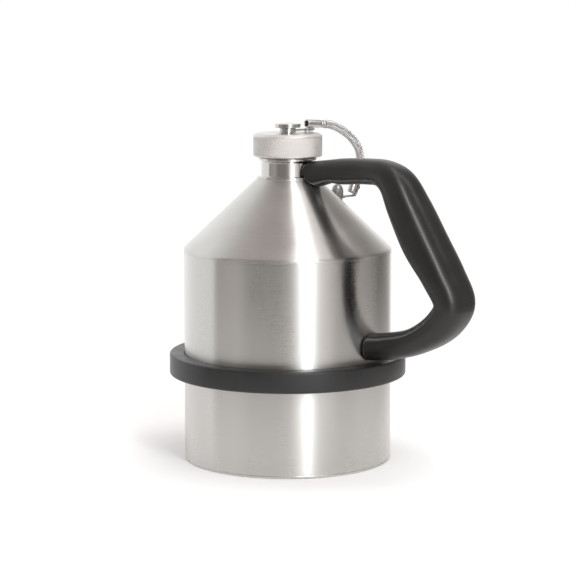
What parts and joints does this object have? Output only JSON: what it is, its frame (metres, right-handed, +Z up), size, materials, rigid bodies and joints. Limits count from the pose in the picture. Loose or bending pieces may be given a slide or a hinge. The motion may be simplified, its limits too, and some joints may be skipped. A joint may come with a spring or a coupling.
{
  "type": "growler",
  "caption": "Conical-shouldered steel jug with a threaded neck, knurled valve cap, braided lanyard, loop handle and bumper ring.",
  "frame": {"origin": "centre of the flat base, on the jug's axis", "axes": "+Z up along the jug's axis towards the mouth, +X towards the handle, +Y to the left when looking along +X"},
  "size_m": [0.209, 0.1488, 0.2129],
  "materials": {
    "brushed_stainless": "stainless sheet, fine brushing round the axis",
    "turned_stainless": "turned stainless, fine lathe lines, near polish",
    "plain_stainless": "plain stainless, lightly tumbled",
    "knurled_stainless": "stainless, fine diamond knurl on the side, turned top",
    "crimped_stainless": "crimped stainless sleeve, satin",
    "steel_braid": "fine stainless wire braid",
    "black_plastic": "moulded black plastic, satin",
    "black_rubber": "black rubber, semi-gloss",
    "seal_polymer": "off-white sealing polymer, matte"
  },
  "bodies": {
    "root": {"base_plate": "brushed_stainless", "body_shell": "brushed_stainless", "shoulder_cone": "brushed_stainless", "neck_spigot": "turned_stainless", "bumper_ring": "black_rubber", "handle_grip": "black_plastic", "upper_bracket": "plain_stainless", "lower_bracket": "plain_stainless", "upper_handle_screw": "plain_stainless", "lower_handle_screw": "plain_stainless", "lower_terminal": "plain_stainless", "lower_ferrule": "crimped_stainless", "lower_rivet": "plain_stainless", "lanyard_braid": "steel_braid", "anchor_stud": "plain_stainless", "anchor_nut": "plain_stainless"},
    "lanyard_end": {"upper_terminal": "plain_stainless", "upper_ferrule": "crimped_stainless", "upper_rivet": "plain_stainless"},
    "cap": {"cap_shell": "knurled_stainless", "cap_gasket": "seal_polymer", "valve_bush": "turned_stainless", "valve_spring": "plain_stainless"},
    "valve": {"valve_stem": "turned_stainless", "valve_seal": "black_rubber", "spring_nut": "plain_stainless"}
  },
  "joints": [
    {"name": "cap_lift", "type": "slide", "parent": "root", "child": "lanyard_end", "axis": [0, 0, 1], "range_m": [0, 0.006], "deforming": ["lanyard_braid"]},
    {"name": "cap_turn", "type": "hinge", "parent": "lanyard_end", "child": "cap", "pos_m": [0, 0, 0.1975], "axis": [0, 0, 1], "range_deg": [0, 720]},
    {"name": "valve_lift", "type": "slide", "parent": "cap", "child": "valve", "axis": [0, 0, 1], "range_m": [0, 0.0015], "stiffness_N_per_m": 500, "springref_m": -0.001, "deforming": ["valve_spring"]}
  ],
  "couplings": [
    {"joint": "cap_turn", "follows": "cap_lift", "rad_per_m": 2094.3}
  ]
}
